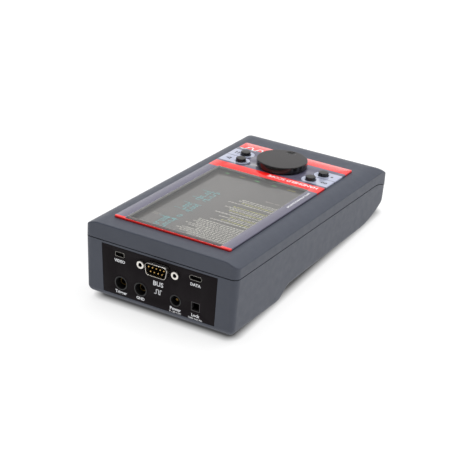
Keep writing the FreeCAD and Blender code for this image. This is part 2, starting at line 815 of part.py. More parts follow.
BUS = (dim(0), -S.bus_row)
VIDEO = (-S.video_x, -S.upper_row)
DATA = (S.data_x, -S.upper_row)
TRIGGER = (-S.trigger_x, -S.lower_row)
GROUND = (-S.ground_x, -S.lower_row)
POWER = (S.power_x, -S.lower_row)
LOCK = (S.lock_x, -S.lower_row)
NUTS = [(-S.nut_half_pitch, BUS[1]), (S.nut_half_pitch, BUS[1])]


def make_connector_panel():
    low, high = -S.panel_low, -S.panel_high
    narrowing = (high - low).number * math.tan(math.radians(S.draft.number))
    half_high = S.panel_half_top
    half_low = half_high - narrowing
    panel = Piece("connector_panel", "panel")
    panel.pad(-S.panel_thick, S.panel_thick,
              polygon((-half_low, low), (half_low, low), (half_high, high), (-half_high, high)))
    panel.cut(0, S.panel_thick + 1,
              shell_outline(18.6, 10.2, 1.5, 2.6, *BUS), circles(NUTS, S.nut_radius + 0.15),
              stadium(*VIDEO, 7.2, 3.7, 0.8), stadium(*DATA, 9.3, 3.7, 1.8),
              circles([TRIGGER, GROUND], S.banana_radius + 0.05),
              circle(*POWER, dim(4.0)), centred(S.lock_side, S.lock_side, *LOCK))


def make_bus_connector():
    flange = -S.panel_thick - 1.6
    x, y = BUS
    shell = Piece("bus_shell", "panel")
    shell.pad(flange, 1.0, rounded(-15.4, 15.4, y - 6.2, y + 6.2, dim(1.0)))
    shell.pad(flange, 6.9, shell_outline(16.9, 8.4, 1.45, 2.6, x, y))
    shell.cut(3.5, 30.0, shell_outline(16.1, 7.6, 1.45, 2.3, x, y), circles(NUTS, 1.6))
    insulator = Piece("bus_insulator", "panel")
    insulator.pad(flange - 6.5, 6.5, rounded(-8.9, 8.9, y - 5.0, y + 3.4, dim(1.0)))
    insulator.pad(flange, 1.4, shell_outline(16.1, 7.6, 1.45, 2.3, x, y))
    pitch, row = 2.77, 2.84
    pins = [(x + pitch * (place - 2), y + row / 2) for place in range(5)]
    pins += [(x + pitch * (place - 1.5), y - row / 2) for place in range(4)]
    insulator.cut(flange + 1.4, 20.0, circles(pins, 0.5))
    pin_group = disc("bus_pins", pins, 0.5, flange - 8.5, 14.7, "panel")
    pin_group.round_edges(0.25, lambda edge: edge.BoundBox.ZMin > flange.number + 6.1)
    nuts = Piece("bus_nuts", "panel")
    nuts.pad(flange + 1.0, 1.5 - flange - 1.0, circles(NUTS, S.nut_radius))
    nuts.pad(flange - 4.0, 5.0, circles(NUTS, 1.6))
    nuts.round_edges(0.35, lambda edge: edge.BoundBox.ZMin > 1.49)
    nuts.cut(1.5, 6.0, circles(NUTS, S.nut_bore))


def make_small_sockets():
    for name, place, width, height, radius in (
            ("video", VIDEO, 6.8, 3.3, 0.7), ("data", DATA, 8.94, 3.26, 1.6)):
        x, y = place
        shell = Piece(f"{name}_shell", "panel")
        shell.pad(-8.2, 8.3, stadium(x, y, width, height, radius))
        shell.cut(0.1, 7.5, stadium(x, y, width - 0.6, height - 0.6, radius - 0.3))
        slab(f"{name}_tongue", -7.4, 6.6, centred(width - 2.2, 0.7, x, y), frame="panel")


def make_round_sockets():
    for name, place in (("trigger_socket", TRIGGER), ("ground_socket", GROUND)):
        socket = Piece(name, "panel")
        socket.pad(-20.0, 20.3, circle(*place, S.banana_radius))
        socket.pad(-S.panel_thick - 1.6, 1.6, circle(*place, S.banana_radius + 1.2))
        socket.round_edges(0.25, lambda edge: edge.BoundBox.ZMin > 0.29)
        socket.cut(0.3, 18.8, circle(*place, S.banana_well))
        socket.cut(-18.0, 5.0, circle(*place, S.contact_radius))
    contacts = disc("socket_contacts", [TRIGGER, GROUND], S.contact_radius, -22.0, 19.0, "panel")
    contacts.round_edges(0.3, lambda edge: edge.BoundBox.ZMin > -3.01)
    contacts.cut(-3.0, 17.0, circles([TRIGGER, GROUND], S.contact_bore))
    x, y = POWER
    jack = Piece("power_jack", "panel")
    jack.pad(-14.0, 12.0, centred(9.0, 9.0, x, y))
    jack.pad(-2.1, 2.3, circle(x, y, dim(3.95)))
    jack.cut(0.2, 11.0, circle(x, y, dim(3.2)))
    jack.cut(-10.5, 5.0, circle(x, y, dim(1.0)))
    pin = disc("power_pin", [POWER], 1.0, -15.0, 13.2, "panel")
    pin.round_edges(0.3, lambda edge: edge.BoundBox.ZMin > -1.81)
    lock = Piece("lock_cup", "panel")
    side = S.lock_side
    lock.pad(-10.5, 8.5, centred(side + 3.0, side + 3.0, *LOCK))
    lock.cut(-S.panel_thick, 7.0, centred(side, side, *LOCK))


# ---------------------------------------------------------------- electronics and battery

def make_boards():
    main = slab("main_board", MAIN_BOTTOM, S.board_thick,
                rectangle(-39.5, 39.5, from_face(134.0), from_face(6.5)))
    main.cut(S.main_board_top, S.board_thick, circles(MAIN_POSTS, S.pilot_radius))
    slab("shield_can", S.main_board_top, 2.4, centred(40.0, 34.0, 0, from_face(60.0)))
    chips = [centred(14.0, 14.0, -12.0, from_face(100.0)), centred(9.0, 12.0, 8.0, from_face(98.0)),
             centred(9.0, 12.0, 22.0, from_face(98.0)), centred(7.0, 7.0, -26.0, from_face(112.0))]
    slab("board_chips", S.main_board_top, 1.3, *chips)
    power_top = S.lower_row + 5.9
    slab("power_board", -power_top - S.board_thick, S.board_thick,
         rectangle(-32.0, 32.0, from_face(34.0), from_face(7.5)))
    slab("power_parts", -power_top, 5.0, centred(11.0, 9.0, -24.0, from_face(28.0)),
         centred(8.0, 8.0, -10.5, from_face(28.0)))
    disc("beeper", [(dim(26.0), from_face(36.0))], 6.0, MAIN_BOTTOM - 5.0, 5.0)
    screws = Piece("board_screws")
    screws.pad(S.main_board_top, 1.4, circles(MAIN_POSTS, 2.1))
    screws.pad(S.main_board_top - 7.0, 7.0, circles(MAIN_POSTS, S.pilot_radius))
    screws.pad(KEYPAD_BOTTOM - 1.4, 1.4, circles(KEYPAD_POSTS, 2.1))
    screws.pad(KEYPAD_BOTTOM, 6.0, circles(KEYPAD_POSTS, S.pilot_radius))


def make_ribbon():
    """Flat cable from the display's underside, round to the top of the main board."""
    thick = 0.3
    high = S.display_top - S.cell_thick - S.frame_depth
    low = S.main_board_top
    start, bend, landing = from_face(124.0), from_face(133.6), from_face(130.5)
    Piece("display_ribbon").across("Pad", 24.0, polygon(
        (start, high), (bend, high), (bend, low), (landing, low), (landing, low + thick),
        (bend + thick, low + thick), (bend + thick, high - thick), (start, high - thick)))


def make_battery():
    low = from_face(167.5)
    tray = Piece("battery_tray")
    floor = S.cell_height + S.cell_radius
    half = 2 * 2 * S.cell_radius + 1.6
    length = 2 * S.cell_length + 3.6
    tray.pad(-floor - 1.2, 8.2, rectangle(-half, half, low, low + length))
    tray.cut(-floor + 7.0, 7.0, rectangle(1.4 - half, half - 1.4, low + 1.4, low + length - 1.4))
    centre_x = [S.cell_radius * (2 * place - 3) for place in range(4)]
    places = [(x, -S.cell_height) for x in centre_x]
    first = low + 1.7
    cells = Piece("battery_cells")
    for start in (first, first + S.cell_length + 0.2):
        rows = circles(places, S.cell_radius - 0.02)
        cells.along("Pad", start + S.cell_length - 0.4, S.cell_length - 0.4, rows)
    lead_y = low + length
    slab("battery_plug", -floor + 1.0, 5.0, centred(10.0, 6.0, 0, lead_y + 3.0))


# ---------------------------------------------------------------- fasteners, feet, label

def make_fasteners():
    screws = Piece("case_screws")
    head = 2.9
    for places, level in ((CASE_BOSSES[:2], 6.0), (CASE_BOSSES[2:], 9.0)):
        depth = S.block_depth if level == 6.0 else S.heel_depth
        seat = -depth + level
        screws.pad(seat - 2.0, 2.0, circles(places, head))
        screws.pad(seat - 0.2, 4.5 - seat, circles(places, 1.25))
        screws.cut(seat - 1.0, 3.0, *(cross(x, y) for x, y in places))
    inserts = disc("thread_inserts", CASE_BOSSES, 2.0, SEAM + 0.2, 5.0)
    inserts.cut(SEAM + 5.2, 8.0, circles(CASE_BOSSES, 1.25))


def cross(x, y, reach=1.5, half=0.35):
    """Cross recess outline of a screw head."""
    x, y = dim(x), dim(y)
    corner = [(half, reach), (half, half), (reach, half)]
    points = []
    for turn in range(4):
        angle = -turn * math.pi / 2
        for px, py in corner:
            qx = px * math.cos(angle) - py * math.sin(angle)
            qy = px * math.sin(angle) + py * math.cos(angle)
            points.append((x + qx, y + qy))
    return polygon(*points)


def make_feet():
    for name, depth, distance in (("front_feet", S.block_depth, S.foot_front),
                                  ("rear_feet", rear_foot_level(), S.foot_rear)):
        feet = disc(name, corners(S.foot_x, from_face(distance)), S.foot_radius,
                    -depth - S.foot_proud, S.foot_proud + 1.5)
        bottom = (-depth - S.foot_proud).number
        feet.round_edges(0.5, lambda edge, z=bottom: edge.BoundBox.ZMax < z + 0.01)
    slab("rating_label", -S.block_depth + 0.1, 0.4,
         rounded(-27.8, 27.8, from_face(46.8), from_face(15.2), 1.8))


# ---------------------------------------------------------------- rest placement and export

def rest_tilt():
    """Angle in degrees by which the connector end is raised when the feet are on the floor."""
    drop = (S.block_depth - rear_foot_level()).number
    return math.degrees(math.atan2(drop, (S.foot_rear - S.foot_front).number))


def panel_placement():
    """From the panel frame to the device frame: the panel leans back by the shell's draft."""
    lean = math.radians(S.draft.number)
    across, up = Vector(-1, 0, 0), Vector(0, math.sin(lean), math.cos(lean))
    outwards = across.cross(up)
    turn = Rotation(across, up, outwards, "ZXY")
    return Placement(Vector(0, FACE_Y.number, 0), turn)


def place_pieces():
    """Gives every body its place at rest, with the origin under the middle of the whole box."""
    turn = Placement(Vector(), Rotation(Vector(1, 0, 0), rest_tilt()))
    frames = {"device": Placement(), "panel": panel_placement()}
    for piece in PIECES:
        piece.body.Placement = turn * frames[piece.frame]
    doc.recompute()
    box = FreeCAD.BoundBox()
    for piece in PIECES:
        box.add(piece.body.Shape.optimalBoundingBox(False, False))
    shift = Vector(0, -(box.YMin + box.YMax) / 2, -box.ZMin)
    for piece in PIECES:
        piece.body.Placement = Placement(shift, Rotation()) * piece.body.Placement
    doc.recompute()
    return shift


def check_document():
    faults = []
    for item in doc.Objects:
        if any(word in state for state in item.State for word in ("Invalid", "Error")):
            faults.append(f"{item.Label}: {item.State}")
        cutting = item.TypeId in ("PartDesign::Pocket", "PartDesign::Groove",
                                  "PartDesign::SubtractiveSphere")
        if cutting and not item.Shape.isNull() and item.BaseFeature:
            if item.Shape.Volume > item.BaseFeature.Shape.Volume - 0.01:
                faults.append(f"{item.Label} removes nothing")
        if item.TypeId == "Sketcher::SketchObject" and item.solve() != 0:
            faults.append(f"{item.Label} is not solved")
    for piece in PIECES:
        shape = piece.body.Shape
        if shape.isNull() or not shape.isValid() or not shape.Solids:
            faults.append(f"{piece.label}: no valid solid")
    if faults:
        raise RuntimeError("\n".join(faults))


def main():
    make_upper_shell()
    make_lower_shell()
    make_case_seal()
    make_front()
    make_display()
    make_dial()
    make_keys()
    make_connector_panel()
    make_bus_connector()
    make_small_sockets()
    make_round_sockets()
    make_boards()
    make_ribbon()
    make_battery()
    make_fasteners()
    make_feet()
    doc.recompute()
    shift = place_pieces()
    check_document()
    os.makedirs("parts", exist_ok=True)
    for piece in PIECES:
        piece.body.Shape.exportStep(f"parts/{piece.label}.step")
    print("rest tilt", rest_tilt(), "shift", shift)
    for piece in PIECES:
        box = piece.body.Shape.BoundBox
        print(f"{piece.label:18s} {len(piece.body.Shape.Solids)} solids "
              f"{piece.body.Shape.Volume:10.1f} mm3  {box.XLength:6.1f} {box.YLength:6.1f} "
              f"{box.ZLength:6.1f}")


main()
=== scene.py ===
import json
import math
import random

import bmesh
import bpy
from mathutils import Matrix, Vector


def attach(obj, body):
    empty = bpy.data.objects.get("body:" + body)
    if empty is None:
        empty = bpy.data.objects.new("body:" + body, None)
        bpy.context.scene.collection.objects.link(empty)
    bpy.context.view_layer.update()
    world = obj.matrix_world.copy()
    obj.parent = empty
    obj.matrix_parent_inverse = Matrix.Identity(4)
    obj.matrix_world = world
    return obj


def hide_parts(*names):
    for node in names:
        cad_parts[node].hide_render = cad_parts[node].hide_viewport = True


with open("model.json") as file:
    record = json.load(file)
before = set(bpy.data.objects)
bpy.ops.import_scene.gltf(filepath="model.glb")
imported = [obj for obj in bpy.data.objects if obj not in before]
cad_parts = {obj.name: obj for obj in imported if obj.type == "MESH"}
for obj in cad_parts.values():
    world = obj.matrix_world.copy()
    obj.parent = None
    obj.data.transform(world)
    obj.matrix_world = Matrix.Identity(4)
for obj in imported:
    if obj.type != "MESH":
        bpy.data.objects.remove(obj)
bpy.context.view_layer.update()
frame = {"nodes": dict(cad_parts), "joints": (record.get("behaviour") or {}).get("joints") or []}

# Looks of the handheld oscilloscope. Sizes are in millimetres in two local frames:
#   device  x right, y towards the connector end, z out of the display, z = 0 on the case's seam
#   panel   x right and y up on the connector panel, z straight out of it
# DEVICE and PANEL carry them into the row frame, in metres.

MM = 0.001
HALF_LENGTH = 101.5
DIAL_Y = HALF_LENGTH - 152.5
DIAL_BOTTOM = 13.1
PANEL_LEAN = math.radians(2.4)

joints = {joint["name"]: joint for joint in frame["joints"]}
push = joints["dial_push"]["axis"]
TILT = math.atan2(push[1], -push[2])
DIAL_PLACE = Vector(joints["dial_spin"]["pos_m"])
DEVICE = (Matrix.Translation(DIAL_PLACE) @ Matrix.Rotation(TILT, 4, "X")
          @ Matrix.Translation(Vector((0, -DIAL_Y, -DIAL_BOTTOM)) * MM))
across = Vector((-1, 0, 0))
upwards = Vector((0, math.sin(PANEL_LEAN), math.cos(PANEL_LEAN)))
PANEL = (DEVICE @ Matrix.Translation((0, HALF_LENGTH * MM, 0))
         @ Matrix((across, upwards, across.cross(upwards))).transposed().to_4x4())

RIM_TOP = 11.0
PLATE_TOP = 12.4
PLATE_LOW = 10.42
DISPLAY_TOP = 9.7
INK = 0.02
KEYS = {
    "key_right_near": (27.1, 143.4),
    "key_left_near": (-27.1, 143.4),
    "key_right_far": (30.5, 155.8),
    "key_left_far": (-30.5, 155.8),
}


def back(distance):
    """Device y of something that lies a distance behind the connector end."""
    return HALF_LENGTH - distance


# ---------------------------------------------------------------- materials


class Look:
    """A procedural material: a Principled shader fed by a small graph of nodes."""

    def __init__(self, name, **sockets):
        self.material = bpy.data.materials.new(name)
        self.material.use_nodes = True
        self.tree = self.material.node_tree
        self.shader = self.tree.nodes["Principled BSDF"]
        for socket, value in sockets.items():
            self.shader.inputs[socket.replace("_", " ")].default_value = value

    def feed(self, socket, value):
        if isinstance(value, bpy.types.NodeSocket):
            self.tree.links.new(value, socket)
        else:
            socket.default_value = value

    def node(self, kind, *values, **settings):
        node = self.tree.nodes.new("ShaderNode" + kind)
        for name, value in settings.items():
            setattr(node, name, value)
        for socket, value in zip(node.inputs, values):
            if value is not None:
                self.feed(socket, value)
        return node

    def math(self, operation, *values, clamp=False):
        return self.node("Math", *values, operation=operation, use_clamp=clamp).outputs[0]

    def vector(self, operation, *values):
        return self.node("VectorMath", *values, operation=operation).outputs[0]

    def place(self):
        """Position on the piece in millimetres."""
        scaled = self.node("VectorMath", self.node("TexCoord").outputs["Object"],
                           operation="SCALE")
        scaled.inputs["Scale"].default_value = 1 / MM
        return scaled.outputs[0]

    def noise(self, place, size, detail=2.0, roughness=0.5):
        node = self.node("TexNoise")
        self.feed(node.inputs["Vector"], place)
        node.inputs["Scale"].default_value = 1 / size
        node.inputs["Detail"].default_value = detail
        node.inputs["Roughness"].default_value = roughness
        return node.outputs["Fac"]

    def spread(self, value, low, high, start=0.3, end=0.7):
        """Maps a value between start and end to low and high."""
        node = self.node("MapRange", value, start, end, low, high)
        return node.outputs[0]

    def mix(self, factor, first, second):
        node = self.node("Mix", data_type="RGBA")
        self.feed(node.inputs[0], factor)
        for socket, colour in ((node.inputs[6], first), (node.inputs[7], second)):
            self.feed(socket, (*colour, 1.0) if isinstance(colour, tuple) else colour)
        return node.outputs[2]

    def scale(self, colour, factor):
        """A colour times a varying number."""
        node = self.node("VectorMath", colour, operation="SCALE")
        self.feed(node.inputs["Scale"], factor)
        return node.outputs[0]

    def bump(self, height, depth, strength=1.0):
        """Surface relief of the given depth in millimetres."""
        node = self.node("Bump")
        node.inputs["Strength"].default_value = strength
        node.inputs["Distance"].default_value = depth * MM
        self.feed(node.inputs["Height"], height)
        self.tree.links.new(node.outputs[0], self.shader.inputs["Normal"])

    def colour(self, value):
        self.feed(self.shader.inputs["Base Color"], value)

    def rough(self, value):
        self.feed(self.shader.inputs["Roughness"], value)


def moulded(name, colour, rough=0.5, grain=0.35, depth=0.02, tint=0.05, **sockets):
    """Moulded plastic or rubber: fine grain, slight cloudiness in colour and gloss."""
    look = Look(name, **sockets)
    place = look.place()
    fine = look.noise(place, grain, detail=3.0, roughness=0.6)
    broad = look.noise(place, 14.0, detail=2.0)
    shade = look.math("ADD", look.spread(broad, 1 - tint, 1 + tint),
                      look.spread(fine, -tint, tint))
    look.colour(look.scale(colour, shade))
    look.rough(look.spread(look.noise(place, 5.0), rough - 0.04, rough + 0.04))
    look.bump(fine, depth)
    return look


def metal(name, colour, rough):
    """Metal with a fine grain and slightly uneven gloss."""
    look = Look(name, Metallic=1.0)
    place = look.place()
    fine = look.noise(place, 0.25, detail=4.0, roughness=0.65)
    look.colour(look.scale(colour, look.spread(fine, 0.93, 1.05)))
    look.rough(look.spread(look.noise(place, 0.8), rough - 0.05, rough + 0.07))
    look.bump(fine, 0.004)
    return look


# ---------------------------------------------------------------- meshes


def finish_mesh(name, bm, look, body="instrument", place=DEVICE, replaces=(),
                smooth=True):
    """Turns millimetre geometry into a piece that rides on a body."""
    bmesh.ops.remove_doubles(bm, verts=bm.verts, dist=1e-5)
    bmesh.ops.recalc_face_normals(bm, faces=bm.faces)
    bmesh.ops.scale(bm, vec=(MM, MM, MM), verts=bm.verts)
    mesh = bpy.data.meshes.new(name)
    bm.to_mesh(mesh)
    bm.free()
    piece = bpy.data.objects.new(name, mesh)
    bpy.context.scene.collection.objects.link(piece)
    piece.matrix_world = place
    for item in look if isinstance(look, (list, tuple)) else [look]:
        mesh.materials.append(item.material)
    if smooth:
        mesh.shade_smooth()
        mesh.set_sharp_from_angle(angle=math.radians(32))
    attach(piece, body)
    if replaces:
        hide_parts(*replaces)


def ring_of(cx, cy, radius, count=64):
    return [(cx + radius * math.cos(2 * math.pi * i / count),
             cy + radius * math.sin(2 * math.pi * i / count)) for i in range(count)]


def box_of(x0, x1, y0, y1, radius=0.0, count=8):
    """Anticlockwise rectangle with rounded corners."""
    if radius <= 0:
        return [(x0, y0), (x1, y0), (x1, y1), (x0, y1)]
    corners = [(x1 - radius, y1 - radius, 0), (x0 + radius, y1 - radius, 90),
               (x0 + radius, y0 + radius, 180), (x1 - radius, y0 + radius, 270)]
    points = []
    for cx, cy, start in corners:
        for step in range(count + 1):
            angle = math.radians(start + 90 * step / count)
            points.append((cx + radius * math.cos(angle), cy + radius * math.sin(angle)))
    return points


def box_around(cx, cy, half_x, half_y, radius):
    return box_of(cx - half_x, cx + half_x, cy - half_y, cy + half_y, radius)


def rounded_of(corners, radius, count=6):
    """Anticlockwise outline through corner points, each corner rounded by an arc."""
    points = []
    for index, corner in enumerate(corners):
        here = Vector(corner)
        before = (Vector(corners[index - 1]) - here).normalized()
        after = (Vector(corners[(index + 1) % len(corners)]) - here).normalized()
        half = math.acos(max(-1, min(1, before.dot(after)))) / 2
        reach = radius / math.tan(half)
        centre = here + (before + after).normalized() * (radius / math.sin(half))
        first = here + before * reach - centre
        last = here + after * reach - centre
        turn = first.angle_signed(last)
        for step in range(count + 1):
            arm = first.copy()
            arm.rotate(Matrix.Rotation(-turn * step / count, 2))
            points.append(tuple(centre + arm))
    return points


def inset(points, distance):
    """Moves a closed anticlockwise outline inwards."""
    moved = []
    for index, point in enumerate(points):
        here = Vector(point)
        first = (here - Vector(points[index - 1])).normalized()
        second = (Vector(points[(index + 1) % len(points)]) - here).normalized()
        left = Vector((-first.y, first.x)) + Vector((-second.y, second.x))
        moved.append(tuple(here + left * distance / (1 + first.dot(second))))
    return moved


def slab(bm, outer, holes, profile, material=0, cap_low=True):
    """Plate with holes. The profile lists (inset, height) from the bottom to the top."""
    new_faces = []
    for outline, sign in [(outer, 1)] + [(hole, -1) for hole in holes]:
        rows = [[bm.verts.new((*point, height)) for point in inset(outline, sign * distance)]
                for distance, height in profile]
        for low, high in zip(rows, rows[1:]):
            for index in range(len(low)):
                after = (index + 1) % len(low)
                new_faces.append(bm.faces.new((low[index], low[after], high[after], high[index])))
    for level in (profile[0], profile[-1]) if cap_low else (profile[-1],):
        edges = []
        for outline, sign in [(outer, 1)] + [(hole, -1) for hole in holes]:
            loop = [bm.verts.new((*point, level[1])) for point in inset(outline, sign * level[0])]
            edges += [bm.edges.new((vert, loop[(index + 1) % len(loop)]))
                      for index, vert in enumerate(loop)]
        filled = bmesh.ops.triangle_fill(bm, edges=edges, use_beauty=True)
        new_faces += [item for item in filled["geom"] if isinstance(item, bmesh.types.BMFace)]
    for face in new_faces:
        face.material_index = material
    return new_faces


def edged(low, high, bevel):
    """Profile of a slab with rounded upper and lower edges."""
    upper = [(bevel * (1 - math.cos(t)), high - bevel * (1 - math.sin(t)))
             for t in (0, math.pi / 6, math.pi / 3, math.pi / 2)]
    lower = [(inset_by, low + high - height) for inset_by, height in reversed(upper)]
    return lower + upper


def lathe(bm, profile, cx=0.0, cy=0.0, count=64, material=0):
    """Solid of revolution about z through (cx, cy). The profile lists (radius, height)."""
    rows = []
    for radius, height in profile:
        if radius < 1e-6:
            rows.append([bm.verts.new((cx, cy, height))])
        else:
            rows.append([bm.verts.new((x, y, height)) for x, y in ring_of(cx, cy, radius, count)])
    for low, high in zip(rows, rows[1:]):
        for index in range(count):
            after = (index + 1) % count
            corners = [low[index % len(low)], low[after % len(low)],
                       high[after % len(high)], high[index % len(high)]]
            unique = list(dict.fromkeys(corners))
            if len(unique) > 2:
                bm.faces.new(unique).material_index = material


def block(bm, x0, x1, y0, y1, z0, z1, bevel=0.1, material=0):
    """Small box with bevelled edges."""
    bevel = min(bevel, (x1 - x0) / 3, (y1 - y0) / 3, (z1 - z0) / 3)
    slab(bm, box_of(x0, x1, y0, y1), [], [(bevel, z0), (0, z0 + bevel), (0, z1 - bevel),
                                          (bevel, z1)], material)


def lettering(name, words, size, x, y, z, look, turn=0.0, place=DEVICE, align="CENTER",
              bold=0.0, spacing=1.0):
    """Flat generic lettering as thin solid letters."""
    curve = bpy.data.curves.new(name, "FONT")
    curve.body = words
    curve.size = size * MM
    curve.align_x = align
    curve.align_y = "CENTER"
    curve.extrude = 0.01 * MM
    curve.offset = bold * MM
    curve.space_character = spacing
    curve.resolution_u = 2
    temporary = bpy.data.objects.new(name + "_curve", curve)
    bpy.context.scene.collection.objects.link(temporary)
    graph = bpy.context.evaluated_depsgraph_get()
    mesh = bpy.data.meshes.new_from_object(temporary.evaluated_get(graph))
    bpy.data.objects.remove(temporary)
    bpy.data.curves.remove(curve)
    mesh.transform(Matrix.Translation(Vector((x, y, z)) * MM) @ Matrix.Rotation(turn, 4, "Z"))
    mesh.materials.clear()
    mesh.materials.append(look.material)
    piece = bpy.data.objects.new(name, mesh)
    bpy.context.scene.collection.objects.link(piece)
    piece.matrix_world = place
    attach(piece, "instrument")


# ---------------------------------------------------------------- looks

SHELL = (0.050, 0.058, 0.082)
RED = (0.95, 0.010, 0.008)
VIOLET = (0.115, 0.108, 0.165)
LAVENDER = (0.46, 0.49, 0.63)
GAP_LINE = (0.06, 0.06, 0.09)

shell_look = moulded("shell_plastic", SHELL, rough=0.47, grain=0.42, depth=0.022, tint=0.03)
# near-black seam rubber in a real recess: its black is painted shade standing for the shadow in
# the seam gap; the display gasket wears it too
seam_shade_and_gasket_look = moulded("seam_rubber_painted_shade", (0.006, 0.006, 0.007), rough=0.6, grain=0.3)
panel_look = moulded("panel_plastic", (0.013, 0.0105, 0.012), rough=0.5, grain=0.3, depth=0.004,
                     Specular_IOR_Level=0.05)
black_look = moulded("black_plastic", (0.010, 0.010, 0.011), rough=0.4, grain=0.3, depth=0.01)
gloss_black_look = moulded("gloss_black_plastic", (0.012, 0.011, 0.012), rough=0.22, grain=0.4,
                           depth=0.004)
rubber_look = moulded("foot_rubber", (0.02, 0.02, 0.022), rough=0.7, grain=0.5, depth=0.04)
white_look = moulded("white_ink", (0.86, 0.87, 0.90), rough=0.4, grain=0.2, depth=0.003)
dark_ink_look = moulded("dark_ink", (0.03, 0.03, 0.045), rough=0.35, grain=0.2, depth=0.003)
label_look = moulded("label_film", (0.70, 0.70, 0.68), rough=0.45, grain=0.25, depth=0.004)
wall_look = moulded("window_wall", (0.30, 0.30, 0.29), rough=0.5, grain=0.3, depth=0.006)
nickel_look = metal("bright_nickel", (0.78, 0.75, 0.70), rough=0.22)
# darker copy of the bright nickel: painted shade on the small socket shells, down in the openings
shaded_nickel_look = metal("socket_nickel_shaded", (0.30, 0.29, 0.27), rough=0.3)
# darker copy of the contact gold: painted shade on contacts deep in the sockets
shaded_gold_look = metal("contact_gold_shaded", (0.13, 0.085, 0.03), rough=0.45)
# near-black: the black insulator and socket tongues, and painted shade inside the jack nut bores
# and the lock slot
black_and_painted_shade_look = moulded("socket_black_and_painted_shade", (0.003, 0.003, 0.003), rough=0.8, grain=0.3, depth=0.004,
                    Specular_IOR_Level=0.05)
edge_look = moulded("slot_edge", (0.045, 0.042, 0.045), rough=0.5, grain=0.3, depth=0.004)
gold_look = metal("contact_gold", (0.80, 0.52, 0.18), rough=0.25)
steel_look = metal("zinc_steel", (0.50, 0.50, 0.52), rough=0.35)
aluminium_look = metal("turned_aluminium", (0.72, 0.72, 0.73), rough=0.3)
board_look = moulded("solder_mask", (0.02, 0.12, 0.05), rough=0.3, grain=0.6, depth=0.01)
film_look = moulded("flat_cable_film", (0.55, 0.33, 0.08), rough=0.35, grain=0.4)
diffuser_look = moulded("diffuser_film", (0.75, 0.76, 0.78), rough=0.5, grain=0.3)
cell_look = moulded("cell_sleeve", (0.05, 0.20, 0.09), rough=0.3, grain=0.5, depth=0.01)


def rounded_mask(look, flat, cx, cy, half_x, half_y, radius, soft=0.12):
    """1 inside a rounded rectangle in the xy plane, 0 outside."""
    centred = look.vector("SUBTRACT", flat, (cx, cy, 0.0))
    folded = look.vector("ABSOLUTE", centred)
    beyond = look.vector("SUBTRACT", folded, (half_x - radius, half_y - radius, 0.0))
    outside = look.vector("MAXIMUM", beyond, (0.0, 0.0, 0.0))
    length = look.node("VectorMath", outside, operation="LENGTH").outputs["Value"]
    return look.spread(length, 1.0, 0.0, radius - soft / 2, radius + soft / 2)


def plate_print_look():
    """Clear plate printed on its back: violet-grey, red bands and pale key fields, with painted
    shade at the foot of its edges.
    """
    look = Look("front_print", Coat_Weight=1.0, Coat_Roughness=0.025, Coat_IOR=1.49,
                Specular_IOR_Level=0.15)
    place = look.place()
    flat = look.vector("MULTIPLY", place, (1.0, 1.0, 0.0))
    cloud = look.spread(look.noise(place, 22.0), 0.95, 1.05)
    paper = look.spread(look.noise(place, 0.16, detail=3.0), 0.95, 1.05)
    colour = look.scale(VIOLET, look.math("MULTIPLY", cloud, paper))

    def add(colour, new, *box, radius=0.2):
        x0, x1, near, far = box
        mask = rounded_mask(look, flat, (x0 + x1) / 2, back((near + far) / 2),
                            (x1 - x0) / 2, (far - near) / 2, radius)
        return look.mix(mask, colour, new)

    beyond_edge = 60.0
    field_half = 5.9
    for side in (1, -1):
        for key_x, key_d in ((27.1, 143.4), (30.5, 155.8)):
            inner = side * (key_x - 6.3)
            edges = sorted((inner, side * beyond_edge))
            for grow, tone in ((0.35, GAP_LINE), (0.0, LAVENDER)):
                reach = field_half + grow
                colour = add(colour, tone, edges[0] - grow, edges[1] + grow,
                             key_d - reach, key_d + reach, radius=5.6)
    for near, far in ((0.0, 14.9), (124.6, 135.2), (166.2, 190.0)):
        colour = add(colour, RED, -beyond_edge, beyond_edge, near, far)
    # painted shade: the print darkens to 0.3 towards the foot of the plate's edges, where they
    # meet the rim
    height = look.node("SeparateXYZ", place).outputs[2]
    brightness_scale = look.spread(height, 0.30, 1.0, RIM_TOP + 0.15, PLATE_TOP - 0.45)
    look.colour(look.scale(colour, brightness_scale))
    look.rough(look.spread(look.noise(place, 3.0), 0.42, 0.52))
    look.bump(look.noise(place, 9.0, detail=1.0), 0.006)
    return look


def window_look():
    """Clear pane over the display: lets sight through and reflects like polished acrylic."""
    look = Look("window_pane", Roughness=0.02, IOR=1.49)
    tree = look.tree
    fine = look.noise(look.place(), 7.0, detail=1.0)
    look.colour(look.mix(fine, (0.90, 0.90, 0.91), (0.96, 0.96, 0.96)))
    gloss = look.node("BsdfGlossy")
    gloss.inputs["Color"].default_value = (1.0, 1.0, 1.0, 1.0)
    gloss.inputs["Roughness"].default_value = 0.02
    clear = look.node("BsdfTransparent")
    clear.inputs["Color"].default_value = (0.97, 0.965, 0.96, 1.0)
    fresnel = look.node("Fresnel")
    fresnel.inputs["IOR"].default_value = 1.49
    outside = look.math("SUBTRACT", 1.0, look.node("NewGeometry").outputs["Backfacing"])
    blend = look.node("MixShader")
    tree.links.new(look.math("MULTIPLY", fresnel.outputs[0], outside), blend.inputs[0])
    tree.links.new(clear.outputs[0], blend.inputs[1])
    tree.links.new(gloss.outputs[0], blend.inputs[2])
    tree.links.new(blend.outputs[0], tree.nodes["Material Output"].inputs["Surface"])
    return look


